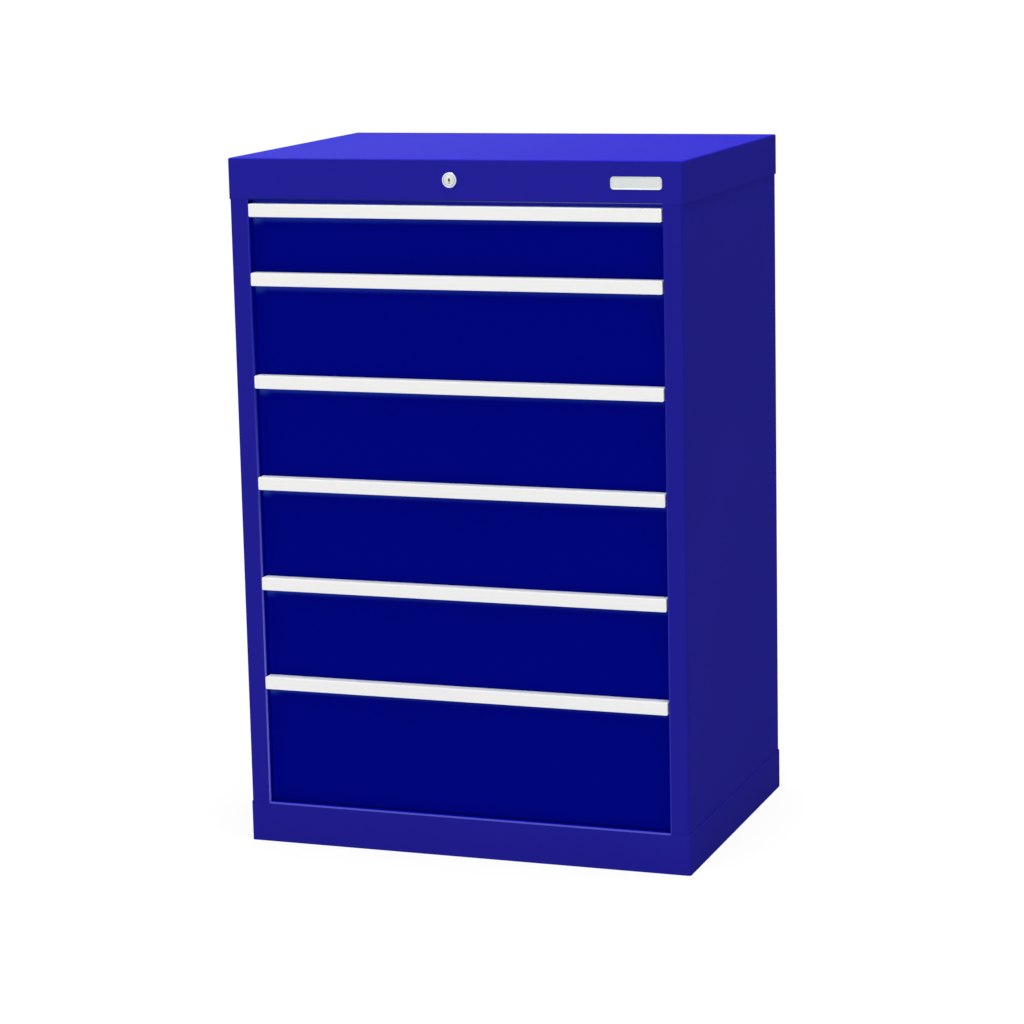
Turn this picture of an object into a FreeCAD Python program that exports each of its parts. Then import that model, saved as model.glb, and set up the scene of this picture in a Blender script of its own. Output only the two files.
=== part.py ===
"""Workshop drawer cabinet of folded sheet steel, with six drawers on telescopic slides and a central lock.

Millimetres. X points right, Y to the back and Z up. The origin is on the floor, under the middle of the
whole cabinet, the lock's ring at the front included.
"""

import math
import os

import FreeCAD
import Part

Vector = FreeCAD.Vector
ALONG_X = Vector(1, 0, 0)
ALONG_Y = Vector(0, 1, 0)
ALONG_Z = Vector(0, 0, 1)

# Casing
WIDTH = 684.0
DEPTH = 493.0
HEIGHT = 1019.0
SHEET = 1.5
SKIRT_HEIGHT = 59.5
SKIRT_PROUD = 1.5
CORNER_RADIUS = 4.0
TOP_EDGE_RADIUS = 2.5
STILE_EDGE_RADIUS = 2.0
REAR_BEND_RADIUS = 2.5
STILE_INNER_X = 312.0
STILE_RETURN = 20.0
SIDE_FLANGE = 25.0
PLINTH_FLANGE = 20.0
RAIL_LIP = 12.0
WALL_TUCK = 50.5
WALL_FRONT_GAP = 4.5
BACK_HALF_WIDTH = 337.0
LOCK_PROUD = 3.0

# Drawers, from the top one down
MODULES = (100.0, 150.0, 150.0, 150.0, 150.0, 200.0)
FRONT_RECESS = 14.0
FRONT_HALF_WIDTH = 311.0
FRONT_GAP = 1.5
FRONT_LINE = 0.8
FRONT_FOLD = 7.5
FRONT_SHEET = 1.2
TRAY_SHEET = 1.2
TRAY_DEPTH = 440.0
TRAY_LIFT = 4.0
TRAY_DROP = 14.0
TRAY_HEM = 8.0

# Grip strips and their end caps
GRIP_DROP = 6.0
GRIP_HEIGHT = 19.0
GRIP_PROUD = 2.0
GRIP_WALL = 2.2
GRIP_FLANGE_THICK = 1.6
GRIP_FLANGE_DEPTH = 10.0
GRIP_HALF_LENGTH = 307.6
CAP_THICK = 3.0
GRIP_TOP_RADIUS = 1.5
GRIP_LIP_RADIUS = 1.0
CAP_CORNER_RADIUS = 2.2

# Slotted strips for the dividers
STRIP_DEPTH = 5.0
STRIP_SHEET = 1.0
STRIP_FLOOR_GAP = 6.0
STRIP_END_GAP = 12.0
SLOT_PITCH = 50.0
SLOT_WIDTH = 2.2
SLOT_MARGIN = 7.0

# Telescopic slides, measured from the face of the upright towards the tray
SLIDE_THICK = 12.7
SLIDE_SHEET = 1.2
SLIDE_HALF_HEIGHT = 23.0
SLIDE_LENGTH = 440.0
SLIDE_CENTRE = 33.0
SLIDE_FRONT_GAP = 30.0
SLIDE_CLEARANCE = 0.3
FIXED_RAIL_DEPTH = 10.0
MIDDLE_RAIL_DEPTH = 8.5
DRAWER_RAIL_FOOT = 2.4

# Uprights that carry the slides
UPRIGHT_HALF_WIDTH = 20.0
UPRIGHT_FLANGE = 12.0
UPRIGHT_FRONT_Y = -170.0
UPRIGHT_REAR_Y = 185.0
UPRIGHT_TOP = 950.0

# Lock
LOCK_Z = 990.0
RING_RADIUS = 11.0
RING_CHAMFER = 0.8
BARREL_RADIUS = 10.0
BARREL_LENGTH = 24.0
BORE_RADIUS = 8.55
PLUG_RADIUS = 8.5
PLUG_SINK = 0.6
KEYHOLE = (3.4, 9.0, 5.0)
TAIL_SIDE = 7.0
NUT_ACROSS_FLATS = 27.0
NUT_THICK = 5.0
NUT_BORE_RADIUS = 10.05
CAM_GAP = 0.2
CAM_THICK = 2.0
CAM_HUB_RADIUS = 8.0
CAM_END_RADIUS = 4.5
CRANK_RADIUS = 10.0
CRANK_PIN_RADIUS = 2.5
PIN_REACH = 5.3

# Draw bar and locking bar
BAR_STROKE = CRANK_RADIUS * math.sqrt(2)
DRAW_BAR_SHEET = 2.5
DRAW_BAR_Y = -217.5
DRAW_BAR_HALF_HEIGHT = 9.0
DRAW_BAR_HEAD_HALF_HEIGHT = 14.0
DRAW_BAR_CENTRE_Z = 993.5
DRAW_BAR_LEFT_X = -24.0
DRAW_BAR_RIGHT_X = 321.5
YOKE_CLEARANCE = 0.4
RAMP_CLEARANCE = 0.1
LIFT_PIN_X = 314.0
LIFT_PIN_Z = 986.0
LIFT_PIN_RADIUS = 3.0
LOCKING_BAR_Y = -222.0
LOCKING_BAR_SHEET = 3.0
LOCKING_BAR_X = (316.0, 334.0)
LOCKING_BAR_BOTTOM_GAP = 0.3
LIFT_PLATE_X = 306.0
LIFT_PLATE_BELOW = 14.0
LIFT_PLATE_ABOVE = 15.0
HOOK_X = 301.0
HOOK_TOP = 70.5
HOOK_HEIGHT = 14.0
HOOK_NOSE = 6.0
CATCH_X = 309.0
CATCH_BOTTOM = 72.0
CATCH_HEIGHT = 12.0
CATCH_SHEET = 1.5
CATCH_FLANGE_THICK = 2.0
CATCH_Y = -218.0
CATCH_LEG = 14.0

# Guides of the two bars
GUIDE_SHEET = 2.0
GUIDE_CLEARANCE = 0.3
GUIDE_BORDER = 6.0
GUIDE_TAB = 14.0
DRAW_GUIDE_X = (45.0, 255.0)
LOCKING_GUIDE_Z = (90.0, 530.0, 952.0)
LOCKING_GUIDE_Y = (-225.0, -214.0)
LOCKING_GUIDE_INNER_X = 313.8

# Small pieces
PLATE_SIZE = (75.0, 18.0)
PLATE_THICK = 0.8
PLATE_RADIUS = 5.0
PLATE_CENTRE = (274.5, 988.0)
RIVET_RADIUS = 4.0
RIVET_HEAD = 1.3
RIVET_X = 327.0
RIVET_ROWS = 4
RIVET_MARGIN = 60.0

# How near an edge must be to a wanted place
EDGE_MATCH = 0.01

# Places worked out from the sizes above
FRONT_Y = LOCK_PROUD - (DEPTH + LOCK_PROUD) / 2
BACK_Y = FRONT_Y + DEPTH
SIDE_X = WIDTH / 2 - SKIRT_PROUD
WALL_INNER_X = SIDE_X - SHEET
REAR_SEAT_Y = BACK_Y - SKIRT_PROUD - SHEET
FLOOR_Z = SKIRT_HEIGHT
OPENING_TOP_Z = HEIGHT - SKIRT_HEIGHT
WALL_TOP_Z = OPENING_TOP_Z + WALL_TUCK
DRAWER_FACE_Y = FRONT_Y + FRONT_RECESS
TRAY_FRONT_Y = DRAWER_FACE_Y + FRONT_FOLD
TRAY_BACK_Y = TRAY_FRONT_Y + TRAY_DEPTH
TRAY_HALF_WIDTH = STILE_INNER_X - SLIDE_THICK
SLIDE_FRONT_Y = FRONT_Y + SLIDE_FRONT_GAP
SLIDE_BACK_Y = SLIDE_FRONT_Y + SLIDE_LENGTH
GRIP_FACE_Y = FRONT_Y - GRIP_PROUD
RAIL_BACK_Y = FRONT_Y + SHEET
BARREL_END_Y = FRONT_Y + BARREL_LENGTH
CAM_Y = BARREL_END_Y + CAM_GAP
PIN_START = CRANK_RADIUS * math.sin(math.radians(45))


def box(x, y, z):
    """Block between the low and high value of each axis."""
    return Part.makeBox(x[1] - x[0], y[1] - y[0], z[1] - z[0], Vector(x[0], y[0], z[0]))


def swept(points, path):
    """Solid of a closed outline swept along a straight path."""
    return Part.Face(Part.makePolygon(points + points[:1])).extrude(path)


def along_x(outline, x):
    """Solid of a (y, z) outline between two values of x."""
    return swept([Vector(x[0], u, v) for u, v in outline], ALONG_X * (x[1] - x[0]))


def along_y(outline, y):
    """Solid of an (x, z) outline between two values of y."""
    return swept([Vector(u, y[0], v) for u, v in outline], ALONG_Y * (y[1] - y[0]))


def along_z(outline, z):
    """Solid of an (x, y) outline between two values of z."""
    return swept([Vector(u, v, z[0]) for u, v in outline], ALONG_Z * (z[1] - z[0]))


def rod(radius, x, z, y):
    """Cylinder along Y, centred on (x, z), between two values of y."""
    return Part.makeCylinder(radius, y[1] - y[0], Vector(x, y[0], z), ALONG_Y)


def edges_along(solid, axis, places):
    """Straight edges that run along an axis through any of the places, pairs of the other two values."""
    found = []
    for edge in solid.Edges:
        bounds = edge.BoundBox
        spans = (bounds.XLength, bounds.YLength, bounds.ZLength)
        middle = tuple(edge.CenterOfMass)
        others = [n for n in range(3) if n != "xyz".index(axis)]
        if max(spans[n] for n in others) > EDGE_MATCH:
            continue
        for place in places:
            if all(abs(middle[n] - value) < EDGE_MATCH for n, value in zip(others, place)):
                found.append(edge)
                break
    return found


def rounded(solid, radius, axis, places):
    """Solid with the edges along an axis through the given places rounded."""
    return solid.makeFillet(radius, edges_along(solid, axis, places))


def mirrored(shape):
    """The same shape on the other side of the cabinet's middle plane."""
    return shape.mirror(Vector(0, 0, 0), ALONG_X)


def slot_between(radius, start, end, y):
    """Round-ended slot of a given half width between two (x, z) centres, through a range of y."""
    run_x = end[0] - start[0]
    run_z = end[1] - start[1]
    length = math.hypot(run_x, run_z)
    side_x = -run_z / length * radius
    side_z = run_x / length * radius
    body = along_y(
        [
            (start[0] + side_x, start[1] + side_z),
            (start[0] - side_x, start[1] - side_z),
            (end[0] - side_x, end[1] - side_z),
            (end[0] + side_x, end[1] + side_z),
        ],
        y,
    )
    return body.fuse([rod(radius, *start, y), rod(radius, *end, y)]).removeSplitter()


def bays():
    """Floor height and top height of each drawer's bay, from the top one down."""
    top = OPENING_TOP_Z
    found = []
    for height in MODULES:
        found.append((top - height, top))
        top -= height
    return found


def pan(z, rounded_top):
    """Rounded block of the cover or the plinth, and the hollow inside its sheet."""
    half = WIDTH / 2
    outer = box((-half, half), (FRONT_Y, BACK_Y), z)
    hollow = box(
        (-half + SHEET, half - SHEET), (FRONT_Y + SHEET, BACK_Y - SHEET), (z[0], z[1] - SHEET)
    )
    outer_corners = [(x, y) for x in (-half, half) for y in (FRONT_Y, BACK_Y)]
    inner_corners = [(x, y) for x in (-half + SHEET, half - SHEET) for y in (FRONT_Y + SHEET, BACK_Y - SHEET)]
    outer = rounded(outer, CORNER_RADIUS, "z", outer_corners)
    hollow = rounded(hollow, CORNER_RADIUS - SHEET, "z", inner_corners)
    if rounded_top:
        top = max(outer.Faces, key=lambda face: face.CenterOfMass.z)
        outer = outer.makeFillet(TOP_EDGE_RADIUS, top.Edges)
    return outer, hollow


def top_cover():
    """Cover pan: the top, the top rail with the lock's hole, and a skirt that laps over the walls."""
    outer, hollow = pan((OPENING_TOP_Z, HEIGHT), True)
    lip = box(
        (-STILE_INNER_X, STILE_INNER_X),
        (RAIL_BACK_Y, RAIL_BACK_Y + RAIL_LIP),
        (OPENING_TOP_Z, OPENING_TOP_Z + SHEET),
    )
    hole = rod(NUT_BORE_RADIUS, 0, LOCK_Z, (FRONT_Y - 1, RAIL_BACK_Y + 1))
    return outer.cut(hollow).fuse(lip).cut(hole)


def base_plinth():
    """Plinth pan: the cabinet's floor, the plinth round it and the flanges that stand on the ground."""
    outer, hollow = pan((0, FLOOR_Z), False)
    half = WIDTH / 2
    inside_x = half - SHEET - PLINTH_FLANGE
    ground = box(
        (-inside_x, inside_x),
        (FRONT_Y + SHEET + PLINTH_FLANGE, BACK_Y - SHEET - PLINTH_FLANGE),
        (0, SHEET),
    )
    above_flange = box((-half, half), (FRONT_Y, BACK_Y), (SHEET, FLOOR_Z))
    return outer.cut(hollow.common(above_flange)).cut(ground)


def right_side_panel():
    """Right wall folded into the stile and its return, the rear flange and the flange on the floor."""
    rear_flange_x = SIDE_X - SIDE_FLANGE
    outline = [
        (STILE_INNER_X, FRONT_Y),
        (SIDE_X, FRONT_Y),
        (SIDE_X, REAR_SEAT_Y),
        (rear_flange_x, REAR_SEAT_Y),
        (rear_flange_x, REAR_SEAT_Y - SHEET),
        (WALL_INNER_X, REAR_SEAT_Y - SHEET),
        (WALL_INNER_X, RAIL_BACK_Y),
        (STILE_INNER_X + SHEET, RAIL_BACK_Y),
        (STILE_INNER_X + SHEET, FRONT_Y + STILE_RETURN),
        (STILE_INNER_X, FRONT_Y + STILE_RETURN),
    ]
    panel = along_z(outline, (FLOOR_Z, WALL_TOP_Z))
    panel = rounded(panel, CORNER_RADIUS, "z", [(SIDE_X, FRONT_Y)])
    panel = rounded(panel, CORNER_RADIUS - SHEET, "z", [(WALL_INNER_X, RAIL_BACK_Y)])
    panel = rounded(panel, STILE_EDGE_RADIUS, "z", [(STILE_INNER_X, FRONT_Y)])
    panel = rounded(panel, REAR_BEND_RADIUS, "z", [(SIDE_X, REAR_SEAT_Y)])
    panel = rounded(panel, REAR_BEND_RADIUS - SHEET, "z", [(WALL_INNER_X, REAR_SEAT_Y - SHEET)])
    above = (OPENING_TOP_Z, WALL_TOP_Z)
    stile_end = box((STILE_INNER_X, SIDE_X), (FRONT_Y, FRONT_Y + WALL_FRONT_GAP), above)
    return_end = box((STILE_INNER_X, WALL_INNER_X), (FRONT_Y, FRONT_Y + STILE_RETURN), above)
    foot = box(
        (STILE_INNER_X + SHEET, WALL_INNER_X),
        (RAIL_BACK_Y, REAR_SEAT_Y - SHEET),
        (FLOOR_Z, FLOOR_Z + SHEET),
    )
    return panel.cut(stile_end).cut(return_end).fuse(foot)


def back_panel():
    """Flat back panel on the rear flanges of the walls."""
    return box(
        (-BACK_HALF_WIDTH, BACK_HALF_WIDTH), (REAR_SEAT_Y, REAR_SEAT_Y + SHEET), (FLOOR_Z, WALL_TOP_Z)
    )


def back_rivets():
    """Flat-topped rivet heads in two columns that hold the back panel to the flanges."""
    heads = []
    span = OPENING_TOP_Z - FLOOR_Z - 2 * RIVET_MARGIN
    face = REAR_SEAT_Y + SHEET
    for x in (-RIVET_X, RIVET_X):
        for row in range(RIVET_ROWS):
            z = FLOOR_Z + RIVET_MARGIN + span * row / (RIVET_ROWS - 1)
            heads.append(rod(RIVET_RADIUS, x, z, (face, face + RIVET_HEAD)))
    return heads


def uprights():
    """Four hat-section uprights against the walls, which carry the fixed slide rails."""
    seat = WALL_INNER_X - SHEET
    crown = STILE_INNER_X
    half = UPRIGHT_HALF_WIDTH
    reach = half + UPRIGHT_FLANGE
    pieces = []
    for middle in (UPRIGHT_FRONT_Y, UPRIGHT_REAR_Y):
        half_outline = [
            (WALL_INNER_X, reach),
            (seat, reach),
            (seat, half),
            (crown, half),
            (crown, -half),
            (seat, -half),
            (seat, -reach),
            (WALL_INNER_X, -reach),
            (WALL_INNER_X, -half + SHEET),
            (crown + SHEET, -half + SHEET),
            (crown + SHEET, half - SHEET),
            (WALL_INNER_X, half - SHEET),
        ]
        outline = [(x, middle + y) for x, y in half_outline]
        post = along_z(outline, (FLOOR_Z + SHEET, UPRIGHT_TOP))
        pieces += [post, mirrored(post)]
    return pieces


def channel(web, depth, half_height, lip):
    """Outline of a C section open towards the tray, as (depth, height) pairs from its back."""
    t = SLIDE_SHEET
    high = half_height
    end = web + depth
    upper = [(end, high), (end, high - t - lip), (end - t, high - t - lip), (end - t, high - t)]
    lower = [(s, -h) for s, h in reversed(upper)]
    return [(web, high)] + upper + [(web + t, high - t), (web + t, -high + t)] + lower + [(web, -high)]


def fixed_rail_outline():
    """Section of the fixed rail, whose lips hold the middle rail in."""
    return channel(0.0, FIXED_RAIL_DEPTH, SLIDE_HALF_HEIGHT, SLIDE_SHEET)


def middle_rail_outline():
    """Section of the middle rail, which runs inside the fixed rail."""
    web = SLIDE_SHEET + SLIDE_CLEARANCE
    half = SLIDE_HALF_HEIGHT - SLIDE_SHEET - SLIDE_CLEARANCE
    return channel(web, MIDDLE_RAIL_DEPTH - web, half, SLIDE_SHEET)


def drawer_rail_outline():
    """Hat section of the drawer rail, whose feet run behind the lips of the middle rail."""
    t = SLIDE_SHEET
    foot_high = SLIDE_HALF_HEIGHT - 2 * (t + SLIDE_CLEARANCE)
    leg_high = foot_high - DRAWER_RAIL_FOOT
    foot_end = MIDDLE_RAIL_DEPTH - t - SLIDE_CLEARANCE
    foot_start = foot_end - t
    upper = [
        (foot_start, leg_high - t),
        (foot_start, foot_high),
        (foot_end, foot_high),
        (foot_end, leg_high),
        (SLIDE_THICK, leg_high),
    ]
    lower = [(s, -h) for s, h in reversed(upper)]
    inner = [(SLIDE_THICK - t, -leg_high + t), (SLIDE_THICK - t, leg_high - t)]
    return upper + lower + inner


def right_rail(outline, floor):
    """Length of a slide section beside one drawer, on the right."""
    centre = floor + SLIDE_CENTRE
    section = [(STILE_INNER_X - s, centre + h) for s, h in outline]
    return along_y(section, (SLIDE_FRONT_Y, SLIDE_BACK_Y))


def right_fixed_rails():
    """The six fixed rails of the right side."""
    return [right_rail(fixed_rail_outline(), floor) for floor, _ in bays()]


def middle_rails(floor):
    """The pair of middle rails of one drawer."""
    rail = right_rail(middle_rail_outline(), floor)
    return [rail, mirrored(rail)]


def drawer_rails(floor):
    """The pair of drawer rails, and the lock's catch on the right wall of the tray."""
    rail = right_rail(drawer_rail_outline(), floor)
    bottom = floor + CATCH_BOTTOM
    heights = (bottom, bottom + CATCH_HEIGHT)
    flange = box((TRAY_HALF_WIDTH, CATCH_X), (CATCH_Y, CATCH_Y + CATCH_FLANGE_THICK), heights)
    leg_start = CATCH_Y + CATCH_FLANGE_THICK
    leg = box(
        (TRAY_HALF_WIDTH, TRAY_HALF_WIDTH + CATCH_SHEET), (leg_start, leg_start + CATCH_LEG), heights
    )
    return [rail, mirrored(rail), flange.fuse(leg).removeSplitter()]


def tray(floor, top):
    """Open tray folded from sheet, with its upper edge hemmed inwards."""
    wide = TRAY_HALF_WIDTH
    low = floor + TRAY_LIFT
    high = top - TRAY_DROP
    shell = box((-wide, wide), (TRAY_FRONT_Y, TRAY_BACK_Y), (low, high))
    t = TRAY_SHEET
    hollow = box((-wide + t, wide - t), (TRAY_FRONT_Y + t, TRAY_BACK_Y - t), (low + t, high - TRAY_HEM))
    mouth = box(
        (-wide + 2 * t, wide - 2 * t), (TRAY_FRONT_Y + 2 * t, TRAY_BACK_Y - 2 * t), (high - TRAY_HEM, high)
    )
    return shell.cut(hollow).cut(mouth)


def front_heights(floor, top):
    """Lower and upper edge of a drawer front, which ends level with its own grip strip.

    The uppermost front reaches on to the top rail, and the lowest one ends above the plinth.
    """
    lowest = floor - FLOOR_Z < EDGE_MATCH
    uppermost = OPENING_TOP_Z - top < EDGE_MATCH
    low = floor + FRONT_GAP if lowest else floor - GRIP_DROP + FRONT_LINE
    high = top - FRONT_GAP if uppermost else top - GRIP_DROP
    return low, high


def drawer_front(floor, top):
    """Shallow pan closed by the tray's front wall behind it."""
    low, high = front_heights(floor, top)
    wide = FRONT_HALF_WIDTH
    t = FRONT_SHEET
    face = box((-wide, wide), (DRAWER_FACE_Y, TRAY_FRONT_Y), (low, high))
    hollow = box((-wide + t, wide - t), (DRAWER_FACE_Y + t, TRAY_FRONT_Y), (low + t, high - t))
    return face.cut(hollow)


def grip(top):
    """Grip strip: a lip in front of the finger gap, a top, and a flange fixed to the drawer front."""
    high = top - GRIP_DROP
    low = high - GRIP_HEIGHT
    lip_back = GRIP_FACE_Y + GRIP_WALL
    flange_front = DRAWER_FACE_Y - GRIP_FLANGE_THICK
    under = high - GRIP_WALL
    outline = [
        (GRIP_FACE_Y, low),
        (GRIP_FACE_Y, high),
        (DRAWER_FACE_Y, high),
        (DRAWER_FACE_Y, high - GRIP_FLANGE_DEPTH),
        (flange_front, high - GRIP_FLANGE_DEPTH),
        (flange_front, under),
        (lip_back, under),
        (lip_back, low),
    ]
    strip = along_x(outline, (-GRIP_HALF_LENGTH, GRIP_HALF_LENGTH))
    strip = rounded(strip, GRIP_TOP_RADIUS, "x", [(GRIP_FACE_Y, high)])
    return rounded(strip, GRIP_LIP_RADIUS, "x", [(GRIP_FACE_Y, low)])


def end_caps(top):
    """Moulded caps that close both ends of a grip strip, rounded as seen from the front."""
    high = top - GRIP_DROP
    low = high - GRIP_HEIGHT
    end = GRIP_HALF_LENGTH + CAP_THICK
    size = ((GRIP_HALF_LENGTH, end), (GRIP_FACE_Y, DRAWER_FACE_Y), (low, high))
    corners = rounded(box(*size), CAP_CORNER_RADIUS, "y", [(end, low), (end, high)])
    section = rounded(box(*size), GRIP_TOP_RADIUS, "x", [(GRIP_FACE_Y, high)])
    section = rounded(section, GRIP_LIP_RADIUS, "x", [(GRIP_FACE_Y, low)])
    cap = corners.common(section)
    return [cap, mirrored(cap)]


def slot_strips(floor, top):
    """Slotted strips that stand off both side walls of a tray and take the dividers."""
    wall = TRAY_HALF_WIDTH - TRAY_SHEET
    face = wall - STRIP_DEPTH
    low = floor + TRAY_LIFT + TRAY_SHEET + STRIP_FLOOR_GAP
    high = top - TRAY_DROP - TRAY_HEM
    t = STRIP_SHEET
    outline = [
        (wall, low),
        (face, low),
        (face, high),
        (wall, high),
        (wall, high - t),
        (face + t, high - t),
        (face + t, low + t),
        (wall, low + t),
    ]
    start = TRAY_FRONT_Y + STRIP_END_GAP
    end = TRAY_BACK_Y - STRIP_END_GAP
    strip = along_y(outline, (start, end))
    count = int((end - start) // SLOT_PITCH)
    first = (start + end - SLOT_PITCH * (count - 1)) / 2
    cuts = []
    for n in range(count):
        y = first + n * SLOT_PITCH
        half = SLOT_WIDTH / 2
        cuts.append(box((face, face + t), (y - half, y + half), (low + SLOT_MARGIN, high - SLOT_MARGIN)))
    strip = strip.cut(cuts)
    return [strip, mirrored(strip)]


def lock_housing():
    """Ring and barrel of the cylinder lock, in the hole of the top rail."""
    ring = rod(RING_RADIUS, 0, LOCK_Z, (FRONT_Y - LOCK_PROUD, FRONT_Y))
    front = FRONT_Y - LOCK_PROUD
    rim = [edge for edge in ring.Edges if abs(edge.CenterOfMass.y - front) < EDGE_MATCH]
    ring = ring.makeChamfer(RING_CHAMFER, rim)
    barrel = rod(BARREL_RADIUS, 0, LOCK_Z, (FRONT_Y, BARREL_END_Y))
    bore = rod(BORE_RADIUS, 0, LOCK_Z, (FRONT_Y - LOCK_PROUD, BARREL_END_Y))
    return ring.fuse(barrel).cut(bore)


def lock_nut():
    """Hexagon nut that clamps the housing to the back of the top rail."""
    corner = NUT_ACROSS_FLATS / 2 / math.cos(math.radians(30))
    turns = [math.radians(60 * n) for n in range(6)]
    outline = [(corner * math.cos(a), LOCK_Z + corner * math.sin(a)) for a in turns]
    span = (RAIL_BACK_Y, RAIL_BACK_Y + NUT_THICK)
    return along_y(outline, span).cut(rod(NUT_BORE_RADIUS, 0, LOCK_Z, span))


def lock_plug():
    """Turning plug with its keyhole upright, and the square tail that drives the cam."""
    face = FRONT_Y - LOCK_PROUD + PLUG_SINK
    plug = rod(PLUG_RADIUS, 0, LOCK_Z, (face, CAM_Y))
    width, height, depth = KEYHOLE
    reach = (height - width) / 2
    keyhole = slot_between(width / 2, (0, LOCK_Z - reach), (0, LOCK_Z + reach), (face, face + depth))
    half = TAIL_SIDE / 2
    tail = box((-half, half), (CAM_Y, CAM_Y + CAM_THICK), (LOCK_Z - half, LOCK_Z + half))
    return plug.cut(keyhole).fuse(tail)


def lock_cam():
    """Crank on the plug's tail: a plate that narrows to its end, and the pin that moves the draw bar."""
    pin_x = -PIN_START
    pin_z = LOCK_Z + PIN_START
    angle = math.radians(135)
    spread = math.acos((CAM_HUB_RADIUS - CAM_END_RADIUS) / CRANK_RADIUS)
    outline = []
    for turn in (angle + spread, angle - spread):
        outline.append((CAM_HUB_RADIUS * math.cos(turn), LOCK_Z + CAM_HUB_RADIUS * math.sin(turn)))
    for turn in (angle - spread, angle + spread):
        outline.append((pin_x + CAM_END_RADIUS * math.cos(turn), pin_z + CAM_END_RADIUS * math.sin(turn)))
    span = (CAM_Y, CAM_Y + CAM_THICK)
    plate = along_y(outline, span).fuse(
        [rod(CAM_HUB_RADIUS, 0, LOCK_Z, span), rod(CAM_END_RADIUS, pin_x, pin_z, span)]
    )
    half = TAIL_SIDE / 2
    plate = plate.removeSplitter().cut(box((-half, half), span, (LOCK_Z - half, LOCK_Z + half)))
    pin = rod(CRANK_PIN_RADIUS, pin_x, pin_z, (span[1], span[1] + PIN_REACH))
    return plate.fuse(pin)


def draw_bar():
    """Bar behind the top rail: an upright slot round the crank pin, and a slanted slot that lifts."""
    middle = DRAW_BAR_CENTRE_Z
    low = middle - DRAW_BAR_HALF_HEIGHT
    high = middle + DRAW_BAR_HALF_HEIGHT
    head_low = middle - DRAW_BAR_HEAD_HALF_HEIGHT
    head_high = middle + DRAW_BAR_HEAD_HALF_HEIGHT
    step = DRAW_BAR_HEAD_HALF_HEIGHT - DRAW_BAR_HALF_HEIGHT
    left_neck = CRANK_RADIUS
    right_neck = DRAW_BAR_RIGHT_X - 2 * BAR_STROKE
    upper = [
        (DRAW_BAR_RIGHT_X, head_high),
        (right_neck, head_high),
        (right_neck - step, high),
        (left_neck + step, high),
        (left_neck, head_high),
        (DRAW_BAR_LEFT_X, head_high),
    ]
    lower = [
        (DRAW_BAR_LEFT_X, head_low),
        (left_neck, head_low),
        (left_neck + step, low),
        (right_neck - step, low),
        (right_neck, head_low),
        (DRAW_BAR_RIGHT_X, head_low),
    ]
    span = (DRAW_BAR_Y, DRAW_BAR_Y + DRAW_BAR_SHEET)
    bar = along_y(upper + lower, span)
    low_pin = (-PIN_START, LOCK_Z + PIN_START - YOKE_CLEARANCE)
    high_pin = (-PIN_START, LOCK_Z + CRANK_RADIUS + YOKE_CLEARANCE)
    yoke = slot_between(CRANK_PIN_RADIUS + YOKE_CLEARANCE, low_pin, high_pin, span)
    ramp_end = (LIFT_PIN_X - BAR_STROKE, LIFT_PIN_Z + BAR_STROKE)
    ramp = slot_between(LIFT_PIN_RADIUS + RAMP_CLEARANCE, (LIFT_PIN_X, LIFT_PIN_Z), ramp_end, span)
    return bar.cut([yoke, ramp])


def locking_bar():
    """Upright bar behind the right stile, and the plate on its edge with the pin in the slanted slot."""
    left, right = LOCKING_BAR_X
    bottom = FLOOR_Z + SHEET + LOCKING_BAR_BOTTOM_GAP
    plate_low = LIFT_PIN_Z - LIFT_PLATE_BELOW
    top = LIFT_PIN_Z + LIFT_PLATE_ABOVE
    slant = left - LIFT_PLATE_X
    back = LOCKING_BAR_Y + LOCKING_BAR_SHEET
    bar = box((left, right), (LOCKING_BAR_Y, back), (bottom, top))
    outline = [(left, plate_low - slant), (left, top), (LIFT_PLATE_X, top), (LIFT_PLATE_X, plate_low)]
    plate = along_y(outline, (LOCKING_BAR_Y, back))
    pin = rod(LIFT_PIN_RADIUS, LIFT_PIN_X, LIFT_PIN_Z, (back, back + PIN_REACH))
    return [bar, plate.fuse(pin)]


def locking_hooks():
    """Six hooks welded to the edge of the locking bar, one below each drawer's catch."""
    hooks = []
    for floor, _ in bays():
        high = floor + HOOK_TOP
        low = high - HOOK_HEIGHT
        outline = [
            (LOCKING_BAR_X[0], low),
            (LOCKING_BAR_X[0], high),
            (HOOK_X, high),
            (HOOK_X, high - HOOK_NOSE),
        ]
        hooks.append(along_y(outline, (LOCKING_BAR_Y, LOCKING_BAR_Y + LOCKING_BAR_SHEET)))
    return hooks


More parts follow.
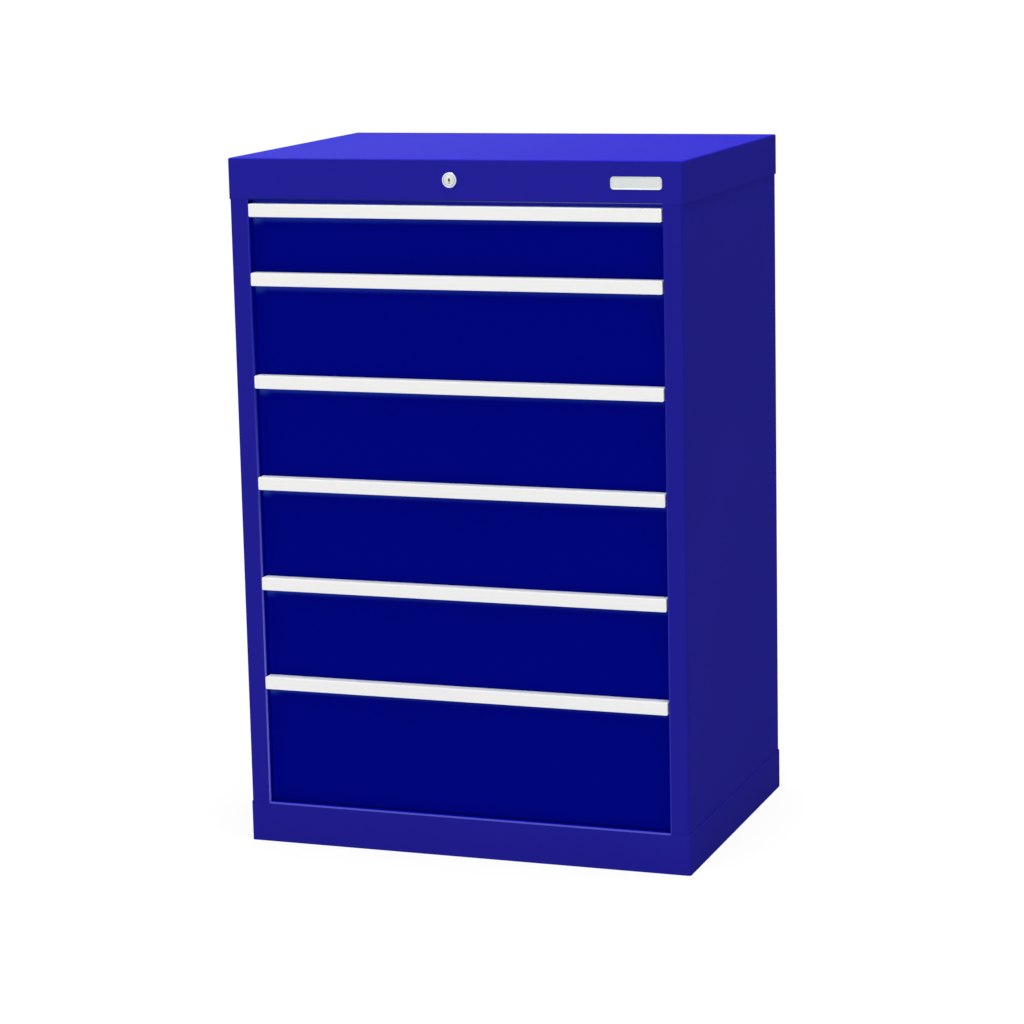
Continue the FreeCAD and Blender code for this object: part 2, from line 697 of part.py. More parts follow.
def bar_guides():
    """Sheet loops that guide the draw bar under the cover and the locking bar along the wall."""
    guides = []
    gap = GUIDE_CLEARANCE
    ceiling = HEIGHT - SHEET
    low = DRAW_BAR_CENTRE_Z - DRAW_BAR_HALF_HEIGHT
    high = DRAW_BAR_CENTRE_Z + DRAW_BAR_HALF_HEIGHT
    front = DRAW_BAR_Y - gap
    back = DRAW_BAR_Y + DRAW_BAR_SHEET + gap
    for x in DRAW_GUIDE_X:
        span = (x, x + GUIDE_SHEET)
        plate = box(span, (front - GUIDE_BORDER, back + GUIDE_BORDER), (low - gap - GUIDE_BORDER, ceiling))
        window = box(span, (front, back), (low - gap, high + gap))
        tab = box(
            (x + GUIDE_SHEET, x + GUIDE_TAB),
            (front - GUIDE_BORDER, back + GUIDE_BORDER),
            (ceiling - GUIDE_SHEET, ceiling),
        )
        guides.append(plate.cut(window).fuse(tab))
    left, right = LOCKING_BAR_X
    bar_front = LOCKING_BAR_Y - gap
    bar_back = LOCKING_BAR_Y + LOCKING_BAR_SHEET + gap
    for z in LOCKING_GUIDE_Z:
        span = (z, z + GUIDE_SHEET)
        plate = box((LOCKING_GUIDE_INNER_X, WALL_INNER_X), LOCKING_GUIDE_Y, span)
        window = box((left - gap, right + gap), (bar_front, bar_back), span)
        tab = box((WALL_INNER_X - GUIDE_SHEET, WALL_INNER_X), LOCKING_GUIDE_Y, (z - GUIDE_TAB, z))
        guides.append(plate.cut(window).fuse(tab))
    return guides


def name_plate():
    """Bare plate at the right of the top rail."""
    x, z = PLATE_CENTRE
    half_width = PLATE_SIZE[0] / 2
    half_height = PLATE_SIZE[1] / 2
    plate = box(
        (x - half_width, x + half_width), (FRONT_Y - PLATE_THICK, FRONT_Y), (z - half_height, z + half_height)
    )
    corners = [(x + u * half_width, z + v * half_height) for u in (-1, 1) for v in (-1, 1)]
    return rounded(plate, PLATE_RADIUS, "y", corners)


def save(name, pieces):
    """Write one sub-part, a solid or a list of solids, to its STEP file."""
    solids = pieces if isinstance(pieces, list) else [pieces]
    shape = solids[0] if len(solids) == 1 else Part.makeCompound(solids)
    shape.exportStep("parts/" + name + ".step")


def build_cabinet():
    """Write the casing, the uprights and the fixed rails."""
    right_panel = right_side_panel()
    right_rails = right_fixed_rails()
    save("side_panel_right", right_panel)
    save("side_panel_left", mirrored(right_panel))
    save("top_cover", top_cover())
    save("base_plinth", base_plinth())
    save("back_panel", back_panel())
    save("back_rivets", back_rivets())
    save("uprights", uprights())
    save("fixed_rails_right", right_rails)
    save("fixed_rails_left", [mirrored(rail) for rail in right_rails])
    save("bar_guides", bar_guides())
    save("name_plate", name_plate())


def build_lock():
    """Write the lock and the bars that it moves."""
    save("lock_housing", lock_housing())
    save("lock_nut", lock_nut())
    save("lock_plug", lock_plug())
    save("lock_cam", lock_cam())
    save("draw_bar", draw_bar())
    save("locking_bar", locking_bar())
    save("locking_hooks", locking_hooks())


def build_drawers():
    """Write each drawer's own pieces."""
    for number, (floor, top) in enumerate(bays(), start=1):
        name = "drawer_" + str(number)
        save(name + "_tray", tray(floor, top))
        save(name + "_front", drawer_front(floor, top))
        save(name + "_grip", grip(top))
        save(name + "_end_caps", end_caps(top))
        save(name + "_rails", drawer_rails(floor))
        save(name + "_slot_strips", slot_strips(floor, top))
        save(name + "_middle_rails", middle_rails(floor))


os.makedirs("parts", exist_ok=True)
build_cabinet()
build_lock()
build_drawers()
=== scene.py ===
"""Workshop drawer cabinet: finishes, small fittings, floor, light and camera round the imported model.

Metres. X points right, Y to the back and Z up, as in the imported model.
"""
import logging
import math
from dataclasses import dataclass, field
from enum import Enum
from functools import cached_property
from typing import Callable, ClassVar, Sequence

import bmesh
import bpy
from mathutils import Matrix, Vector


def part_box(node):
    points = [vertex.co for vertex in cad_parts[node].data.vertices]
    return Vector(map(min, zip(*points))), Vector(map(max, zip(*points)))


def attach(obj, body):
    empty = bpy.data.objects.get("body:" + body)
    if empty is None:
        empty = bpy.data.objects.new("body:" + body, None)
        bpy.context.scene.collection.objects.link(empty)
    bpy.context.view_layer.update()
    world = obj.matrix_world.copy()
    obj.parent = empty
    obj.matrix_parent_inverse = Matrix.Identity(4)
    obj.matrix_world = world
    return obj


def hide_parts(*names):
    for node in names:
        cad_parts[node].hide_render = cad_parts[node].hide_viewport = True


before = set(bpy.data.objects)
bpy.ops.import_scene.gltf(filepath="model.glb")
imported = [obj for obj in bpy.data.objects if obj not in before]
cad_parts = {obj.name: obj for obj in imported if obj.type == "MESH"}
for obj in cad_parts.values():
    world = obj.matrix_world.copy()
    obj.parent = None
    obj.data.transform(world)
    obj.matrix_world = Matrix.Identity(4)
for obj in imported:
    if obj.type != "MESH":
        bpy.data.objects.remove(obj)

LOG = logging.getLogger("cabinet")
MM = 0.001
DRAWER_COUNT = 6
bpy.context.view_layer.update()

Rgb = tuple[int, int, int]
Span = tuple[float, float]
Tone = Sequence[float] | bpy.types.NodeSocket


class Side(Enum):
    """Sides of the cabinet as seen from the front, with the sign of X there."""

    LEFT = -1
    RIGHT = 1


class Ray(Enum):
    """Kinds of light ray that see the white background, named by the output of the light path node."""

    CAMERA = "Is Camera Ray"
    GLOSSY = "Is Glossy Ray"
    TRANSMISSION = "Is Transmission Ray"


def linear(colour: Rgb, gain: float = 1.0) -> tuple[float, float, float, float]:
    """Linear colour of an eight-bit screen colour.

    Args:
        colour: Red, green and blue from 0 to 255.
        gain: Factor on the linear values.

    Returns:
        Linear red, green, blue and an alpha of one.
    """
    channels = []
    for value in colour:
        share = value / 255
        channels.append(gain * (share / 12.92 if share <= 0.04045 else ((share + 0.055) / 1.055) ** 2.4))
    return channels[0], channels[1], channels[2], 1.0


class Graph:
    """Shader graph of one material, with short calls for the nodes that the finishes share."""

    noise_middle: ClassVar[Span] = (0.3, 0.7)

    def __init__(self, name: str) -> None:
        """Start an empty graph in a new material.

        Args:
            name: Name of the material.
        """
        self.material: bpy.types.Material = bpy.data.materials.new(name)
        self.material.use_nodes = True
        self.tree: bpy.types.NodeTree = self.material.node_tree
        self.tree.nodes.clear()
        self.shader = self.add("ShaderNodeBsdfPrincipled")
        output = self.add("ShaderNodeOutputMaterial")
        self.link(self.shader.outputs["BSDF"], output.inputs["Surface"])
        self.place = self.add("ShaderNodeTexCoord").outputs["Object"]

    def add(self, kind: str, **settings: object) -> bpy.types.Node:
        """Add a node.

        Args:
            kind: Blender's name for the kind of node.
            settings: Properties of the node by name.

        Returns:
            The new node.
        """
        node = self.tree.nodes.new(kind)
        for key, value in settings.items():
            setattr(node, key, value)
        return node

    def link(self, source: bpy.types.NodeSocket, target: bpy.types.NodeSocket) -> None:
        """Link one socket to another."""
        self.tree.links.new(source, target)

    def set(self, **values: object) -> None:
        """Set sockets of the shader, named with underscores for blanks.

        Args:
            values: Socket values by name, in lower case.
        """
        sockets = {socket.name.lower().replace(" ", "_"): socket for socket in self.shader.inputs}
        for key, value in values.items():
            sockets[key].default_value = value

    def noise(self, cells: float, detail: float = 2.0, stretch: Sequence[float] = (1, 1, 1)) -> bpy.types.NodeSocket:
        """Noise over the object.

        Args:
            cells: Cells per metre.
            detail: Octaves of finer noise.
            stretch: Factors on the three axes before the noise is read.

        Returns:
            The noise value.
        """
        mapping = self.add("ShaderNodeMapping")
        mapping.inputs["Scale"].default_value = stretch
        self.link(self.place, mapping.inputs["Vector"])
        texture = self.add("ShaderNodeTexNoise")
        texture.inputs["Scale"].default_value = cells
        texture.inputs["Detail"].default_value = detail
        self.link(mapping.outputs["Vector"], texture.inputs["Vector"])
        return texture.outputs["Fac"]

    def remap(self, value: bpy.types.NodeSocket, low: float, high: float) -> bpy.types.NodeSocket:
        """Stretch the middle of a noise to a range.

        Args:
            value: Noise from 0 to 1.
            low: Result where the noise is low.
            high: Result where the noise is high.

        Returns:
            The stretched value.
        """
        ranged = self.add("ShaderNodeMapRange")
        ranged.inputs["From Min"].default_value, ranged.inputs["From Max"].default_value = self.noise_middle
        ranged.inputs["To Min"].default_value = low
        ranged.inputs["To Max"].default_value = high
        self.link(value, ranged.inputs["Value"])
        return ranged.outputs["Result"]

    def ramp(self, axis: str, start: float, end: float) -> bpy.types.NodeSocket:
        """Value that runs smoothly from 0 to 1 along an axis of the object.

        Args:
            axis: Letter of the axis, X, Y or Z.
            start: Place of the 0.
            end: Place of the 1, which may lie before the start.

        Returns:
            The value.
        """
        ranged = self.add("ShaderNodeMapRange", interpolation_type="SMOOTHSTEP")
        ranged.inputs["From Min"].default_value = start
        ranged.inputs["From Max"].default_value = end
        self.link(self.axes.outputs[axis], ranged.inputs["Value"])
        return ranged.outputs["Result"]

    @cached_property
    def axes(self) -> bpy.types.Node:
        """Place on the object, split into X, Y and Z.

        Returns:
            The node with the three outputs.
        """
        parts = self.add("ShaderNodeSeparateXYZ")
        self.link(self.place, parts.inputs["Vector"])
        return parts

    def scaled(self, value: bpy.types.NodeSocket, gain: float, lift: float = 0.0) -> bpy.types.NodeSocket:
        """Value times a gain, plus a lift.

        Args:
            value: Value to scale.
            gain: Factor on the value.
            lift: Amount that is added.

        Returns:
            The scaled value.
        """
        node = self.add("ShaderNodeMath", operation="MULTIPLY_ADD")
        self.link(value, node.inputs[0])
        node.inputs[1].default_value = gain
        node.inputs[2].default_value = lift
        return node.outputs[0]

    def product(self, values: Sequence[bpy.types.NodeSocket]) -> bpy.types.NodeSocket:
        """Product of several values.

        Args:
            values: Factors, at least one.

        Returns:
            The product.
        """
        result = values[0]
        for value in values[1:]:
            node = self.add("ShaderNodeMath", operation="MULTIPLY")
            self.link(result, node.inputs[0])
            self.link(value, node.inputs[1])
            result = node.outputs[0]
        return result

    def mixed(self, share: bpy.types.NodeSocket, first: Tone, second: Tone) -> bpy.types.NodeSocket:
        """Colour between two tones.

        Args:
            share: Share of the second tone, from 0 to 1.
            first: First linear colour, or the socket that it comes from.
            second: Second linear colour, or the socket that it comes from.

        Returns:
            The colour.
        """
        mix = self.add("ShaderNodeMix", data_type="RGBA")
        sockets = [socket for socket in mix.inputs if socket.name in "AB" and socket.type == "RGBA"]
        for socket, tone in zip(sockets, (first, second)):
            if isinstance(tone, bpy.types.NodeSocket):
                self.link(tone, socket)
            else:
                socket.default_value = tone
        self.link(share, mix.inputs["Factor"])
        return [socket for socket in mix.outputs if socket.type == "RGBA"][0]

    def paint(self, colour: bpy.types.NodeSocket) -> None:
        """Give the surface its colour."""
        self.link(colour, self.shader.inputs["Base Color"])

    def bump(self, heights: Sequence[tuple[bpy.types.NodeSocket, float]]) -> None:
        """Chain bumps into the shader's normal.

        Args:
            heights: Pairs of a height from 0 to 1 and its depth in metres.
        """
        before = None
        for value, depth in heights:
            node = self.add("ShaderNodeBump")
            node.inputs["Strength"].default_value = 1.0
            node.inputs["Distance"].default_value = depth
            self.link(value, node.inputs["Height"])
            if before:
                self.link(before, node.inputs["Normal"])
            before = node.outputs["Normal"]
        self.link(before, self.shader.inputs["Normal"])


def seen_directly(tree: bpy.types.NodeTree) -> bpy.types.NodeSocket:
    """Add a value that is one for the rays that see the white background.

    Args:
        tree: Node tree that the value is added to.

    Returns:
        The value: one for camera, glossy and transmission rays, and zero for the rest.
    """
    path = tree.nodes.new("ShaderNodeLightPath")
    seen = path.outputs[Ray.CAMERA.value]
    for ray in (Ray.GLOSSY, Ray.TRANSMISSION):
        either = tree.nodes.new("ShaderNodeMath")
        either.operation = "MAXIMUM"
        tree.links.new(seen, either.inputs[0])
        tree.links.new(path.outputs[ray.value], either.inputs[1])
        seen = either.outputs[0]
    return seen


@dataclass(frozen=True)
class StudioFloor:
    """Pale floor that gives a plain share of light back, and shows as white with a faint shadow."""

    given_back: float = 0.6
    shown_grey: float = 0.1
    shown_white: float = 0.87

    def material(self) -> bpy.types.Material:
        """Make the material of the floor.

        Returns:
            The material.
        """
        graph = Graph("pale_floor")
        seen = seen_directly(graph.tree)
        graph.paint(graph.mixed(seen, (self.given_back,) * 3 + (1.0,), (self.shown_grey,) * 3 + (1.0,)))
        graph.link(graph.scaled(seen, self.shown_white), graph.shader.inputs["Emission Strength"])
        graph.set(roughness=0.9, specular_ior_level=0.0, emission_color=(1.0, 1.0, 1.0, 1.0))
        return graph.material


@dataclass(frozen=True)
class PowderCoat:
    """Baked powder coat: a fine orange peel, a faint drift of tone and a thin clear gloss."""

    name: str
    colour: Rgb
    gloss: float
    drift: float = 0.035
    drift_cells: float = 2.3
    peel_cells: float = 520.0
    peel_depth: float = 0.03 * MM
    grain_cells: float = 3120.0
    grain_depth: float = 0.0036 * MM
    roughness: Span = (0.46, 0.56)
    gloss_roughness: float = 0.32
    gloss_ior: float = 1.45

    def material(self) -> bpy.types.Material:
        """Make the material of the coat.

        Returns:
            The material.
        """
        graph = Graph(self.name)
        peel = graph.noise(self.peel_cells, 1.5)
        grain = graph.noise(self.grain_cells, 1.0)
        wide = graph.remap(graph.noise(self.drift_cells, 3.0), 0.0, 1.0)
        colour = graph.mixed(wide, linear(self.colour, 1 - self.drift), linear(self.colour, 1 + self.drift))
        graph.paint(self.marked(graph, colour))
        graph.link(graph.remap(grain, *self.roughness), graph.shader.inputs["Roughness"])
        graph.bump([(peel, self.peel_depth), (grain, self.grain_depth)])
        graph.set(specular_ior_level=0.0, coat_weight=self.gloss)
        graph.set(coat_roughness=self.gloss_roughness, coat_ior=self.gloss_ior)
        return graph.material

    def marked(self, graph: Graph, colour: bpy.types.NodeSocket) -> bpy.types.NodeSocket:
        """Colour of the coat with its local marks, of which the plain coat has none."""
        return colour


@dataclass(frozen=True)
class Fade:
    """Smooth change of a mark's share along one axis, from the faint place to the full one."""

    axis: str
    faint_at: float
    full_at: float
    faint_share: float = 0.0


@dataclass(frozen=True)
class Mark:
    """Block of space in which a coat shows another tone; most marks here paint light or shade, such as a highlight
    along a fold.

    An axis without a span is open. Past each span the tone dies out over the soft width.
    """

    tone: Rgb
    x: Span | None = None
    y: Span | None = None
    z: Span | None = None
    fades: tuple[Fade, ...] = ()
    soft: float = 0.5 * MM

    def share(self, graph: Graph) -> bpy.types.NodeSocket:
        """Share of the tone over the object.

        Args:
            graph: Graph of the material.

        Returns:
            The share, from 0 to 1.
        """
        masks = []
        for axis, span in zip("XYZ", (self.x, self.y, self.z)):
            if span:
                masks.append(graph.ramp(axis, span[0] - self.soft, span[0]))
                masks.append(graph.ramp(axis, span[1] + self.soft, span[1]))
        for fade in self.fades:
            rise = graph.ramp(fade.axis, fade.faint_at, fade.full_at)
            masks.append(graph.scaled(rise, 1 - fade.faint_share, fade.faint_share))
        return graph.product(masks)


@dataclass(frozen=True)
class MarkedCoat(PowderCoat):
    """Powder coat with places of another tone, mostly painted light and shade."""

    marks: tuple[Mark, ...] = ()

    def marked(self, graph: Graph, colour: bpy.types.NodeSocket) -> bpy.types.NodeSocket:
        """Colour of the coat with its marks, the later over the earlier.

        Args:
            graph: Graph of the material.
            colour: Colour of the open sheet.

        Returns:
            The colour with the marks in it.
        """
        for mark in self.marks:
            colour = graph.mixed(mark.share(graph), colour, linear(mark.tone))
        return colour


@dataclass(frozen=True)
class MouldedPlastic:
    """Moulded plastic with a fine spark-eroded grain."""

    name: str
    colour: Rgb
    roughness: Span = (0.45, 0.55)
    tone_gains: Span = (0.97, 1.02)
    tone_cells: float = 30.0
    grain_cells: float = 1600.0
    grain_depth: float = 0.012 * MM
    shine: float = 0.18

    def material(self) -> bpy.types.Material:
        """Make the material of the moulding.

        Returns:
            The material.
        """
        graph = Graph(self.name)
        grain = graph.noise(self.grain_cells, 3.0)
        wide = graph.remap(graph.noise(self.tone_cells), 0.0, 1.0)
        dark, light = (linear(self.colour, gain) for gain in self.tone_gains)
        graph.paint(graph.mixed(wide, dark, light))
        graph.link(graph.remap(grain, *self.roughness), graph.shader.inputs["Roughness"])
        graph.bump([(grain, self.grain_depth)])
        graph.set(specular_ior_level=self.shine)
        return graph.material


@dataclass(frozen=True)
class PlatedSteel:
    """Metal with a plated or rolled surface: streaks along one axis, cloudy tone and uneven gloss."""

    name: str
    colour: Rgb
    roughness: float
    streak: tuple[float, float, float] = (1.0, 1.0, 1.0)
    cloud: float = 0.12
    light_share: float = 0.6
    cloud_cells: float = 34.0
    streak_cells: float = 260.0
    streak_depth: float = 0.006 * MM
    roughness_spread: float = 0.07

    def material(self) -> bpy.types.Material:
        """Make the material of the metal.

        Returns:
            The material.
        """
        graph = Graph(self.name)
        streaks = graph.noise(self.streak_cells, 4.0, self.streak)
        clouds = graph.remap(graph.noise(self.cloud_cells, 3.0), 0.0, 1.0)
        dark = linear(self.colour, 1 - self.cloud)
        light = linear(self.colour, 1 + self.cloud * self.light_share)
        graph.paint(graph.mixed(clouds, dark, light))
        low, high = self.roughness - self.roughness_spread, self.roughness + self.roughness_spread
        graph.link(graph.remap(streaks, low, high), graph.shader.inputs["Roughness"])
        graph.bump([(streaks, self.streak_depth)])
        graph.set(metallic=1.0)
        return graph.material


@dataclass(frozen=True)
class Finishes:
    """Finishes that several sub-assemblies share, made once."""

    casing: bpy.types.Material
    caps: bpy.types.Material
    trays: bpy.types.Material
    zinc: bpy.types.Material

    casing_colour: ClassVar[Rgb] = (31, 28, 138)
    casing_gloss: ClassVar[float] = 0.02
    cap_colour: ClassVar[Rgb] = (235, 235, 235)
    tray_colour: ClassVar[Rgb] = (176, 180, 182)
    zinc_colour: ClassVar[Rgb] = (172, 175, 180)

    @classmethod
    def make(cls) -> "Finishes":
        """Make the materials.

        Returns:
            The set of finishes.
        """
        return cls(
            casing=PowderCoat("casing_blue_coat", cls.casing_colour, cls.casing_gloss).material(),
            caps=MouldedPlastic("cap_grey_plastic", cls.cap_colour).material(),
            trays=PowderCoat("tray_grey_coat", cls.tray_colour, gloss=0.3, drift=0.02).material(),
            zinc=PlatedSteel("zinc_plated_steel", cls.zinc_colour, 0.38, streak=(1.0, 0.03, 1.0)).material(),
        )

    @classmethod
    def sheet(cls, name: str, marks: tuple[Mark, ...]) -> bpy.types.Material:
        """Material of a casing sheet with its marks.

        Args:
            name: Name of the material.
            marks: Places of another tone.

        Returns:
            The material.
        """
        return MarkedCoat(name, cls.casing_colour, cls.casing_gloss, marks=marks).material()


def new_piece(name: str, shape: bmesh.types.BMesh, finish: bpy.types.Material, body: str) -> bpy.types.Object:
    """Turn a finished bmesh into a piece of the cabinet.

    Args:
        name: Name of the piece.
        shape: Geometry in the cabinet's frame; it is freed here.
        finish: Material of the whole piece.
        body: Body that the piece rides on.

    Returns:
        The piece, in place.
    """
    bmesh.ops.recalc_face_normals(shape, faces=shape.faces)
    mesh = bpy.data.meshes.new(name)
    shape.to_mesh(mesh)
    shape.free()
    mesh.shade_smooth()
    piece = bpy.data.objects.new(name, mesh)
    bpy.context.scene.collection.objects.link(piece)
    mesh.materials.append(finish)
    piece.modifiers.new("even_shading", "WEIGHTED_NORMAL")
    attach(piece, body)
    LOG.info("made %s with %d faces on %s", name, len(mesh.polygons), body)
    return piece


def lathe(shape: bmesh.types.BMesh, profile: Sequence[tuple[float, float]], turn: Matrix, steps: int = 24,
          inner: Callable[[float], float] | None = None, inner_from: int = 0) -> None:
    """Add a turned form to a bmesh.

    Args:
        shape: Mesh that the form is added to.
        profile: Radius and height pairs from the axis at the top to the foot.
        turn: Matrix that takes the axis Z to its place.
        steps: Points round the form.
        inner: Factor on the radius by angle, for the first rings, such as a hexagon socket's.
        inner_from: Number of first rings that the factor holds for.
    """
    rings = []
    for place, (radius, height) in enumerate(profile):
        if radius == 0:
            rings.append([shape.verts.new(turn @ Vector((0, 0, height)))])
            continue
        ring = []
        for step in range(steps):
            angle = 2 * math.pi * step / steps
            reach = radius * (inner(angle) if inner and place < inner_from else 1.0)
            ring.append(shape.verts.new(turn @ Vector((reach * math.cos(angle), reach * math.sin(angle), height))))
        rings.append(ring)
    for first, second in zip(rings, rings[1:]):
        for step in range(steps):
            after = (step + 1) % steps
            if len(first) == 1:
                shape.faces.new((first[0], second[step], second[after]))
            else:
                shape.faces.new((first[step], second[step], second[after], first[after]))


def hexagon(angle: float) -> float:
    """Radius of a hexagon at an angle, as a share of its largest radius."""
    sector = math.radians(60)
    return math.cos(sector / 2) / math.cos(angle % sector - sector / 2)


def facing(place: Vector, way: Vector) -> Matrix:
    """Matrix that puts a turned form's foot at a place with its axis along a way."""
    return Matrix.Translation(place) @ way.to_track_quat("Z", "Y").to_matrix().to_4x4()


@dataclass(frozen=True)
class SocketScrew:
    """Low round-headed screw with a hexagon socket; its shares are of the head's radius and height."""

    radius: float = 4.2 * MM
    height: float = 2.0 * MM
    socket: float = 1.9 * MM
    depth: float = 1.3 * MM
    socket_lead: Span = (0.3 * MM, 0.1 * MM)
    flat_share: float = 0.62
    brim_share: float = 0.25
    round_steps: int = 4

    def add(self, shape: bmesh.types.BMesh, place: Vector, way: Vector) -> None:
        """Add the head to a bmesh.

        Args:
            shape: Mesh that the head is added to.
            place: Point on the surface under the head.
            way: Direction that the head faces.
        """
        top = self.height
        lead_width, lead_depth = self.socket_lead
        profile = [(0.0, top - self.depth), (self.socket, top - self.depth), (self.socket, top - lead_depth)]
        profile += [(self.socket + lead_width, top), (self.radius * self.flat_share, top)]
        for step in range(1, self.round_steps + 1):
            angle = math.radians(90 * step / self.round_steps)
            reach = self.radius * (self.flat_share + (1 - self.flat_share) * math.sin(angle))
            profile.append((reach, top * (self.brim_share + (1 - self.brim_share) * math.cos(angle))))
        profile.append((self.radius, 0.0))
        lathe(shape, profile, facing(place, way), 24, hexagon, 3)


@dataclass(frozen=True)
class BlindRivet:
    """Domed blind rivet with the hole that its mandrel leaves; its shares are of the head's height."""

    radius: float = 4.0 * MM
    height: float = 1.3 * MM
    hole: float = 1.1 * MM
    hole_lead: float = 0.15 * MM
    floor_share: float = 0.35
    lead_share: float = 0.94
    brim_share: float = 0.2
    round_steps: int = 6

    def add(self, shape: bmesh.types.BMesh, place: Vector, way: Vector) -> None:
        """Add the head to a bmesh.

        Args:
            shape: Mesh that the head is added to.
            place: Point on the surface under the head.
            way: Direction that the head faces.
        """
        floor, crown = self.height * self.floor_share, self.hole + self.hole_lead
        profile = [(0.0, floor), (self.hole, floor), (self.hole, self.height * self.lead_share)]
        profile.append((crown, self.height))
        for step in range(1, self.round_steps + 1):
            angle = math.radians(90 * step / self.round_steps)
            share = self.brim_share + (1 - self.brim_share) * math.cos(angle)
            profile.append((crown + (self.radius - crown) * math.sin(angle), self.height * share))
        profile.append((self.radius, 0.0))
        lathe(shape, profile, facing(place, way), 28)


@dataclass
class SubAssembly:
    """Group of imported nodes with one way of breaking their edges."""

    finishes: Finishes
    broken_edge: float = 0.3 * MM
    sharp_from: ClassVar[float] = math.radians(35)
    flat_within: ClassVar[float] = math.radians(0.5)
    same_point: ClassVar[float] = 0.001 * MM

    def dress(self, node: str, finish: bpy.types.Material, edge: float | None = None) -> bpy.types.Object:
        """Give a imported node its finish, and break its sharp edges.

        Args:
            node: Name of the node.
            finish: Material of the whole node.
            edge: Width of the broken edge, or None for the group's own.

        Returns:
            The node's object.
        """
        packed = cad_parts[node]
        for slot in packed.material_slots:
            slot.material = finish
        joined = packed.modifiers.new("join_facets", "WELD")
        joined.merge_threshold = self.same_point
        flat = packed.modifiers.new("clear_flats", "DECIMATE")
        flat.decimate_type = "DISSOLVE"
        flat.angle_limit = self.flat_within
        broken = packed.modifiers.new("break_edges", "BEVEL")
        broken.width = self.broken_edge if edge is None else edge
        broken.segments = 2
        broken.limit_method = "ANGLE"
        broken.angle_limit = self.sharp_from
        packed.modifiers.new("even_shading", "WEIGHTED_NORMAL")
        LOG.info("dressed %s with %s", node, finish.name)
        return packed


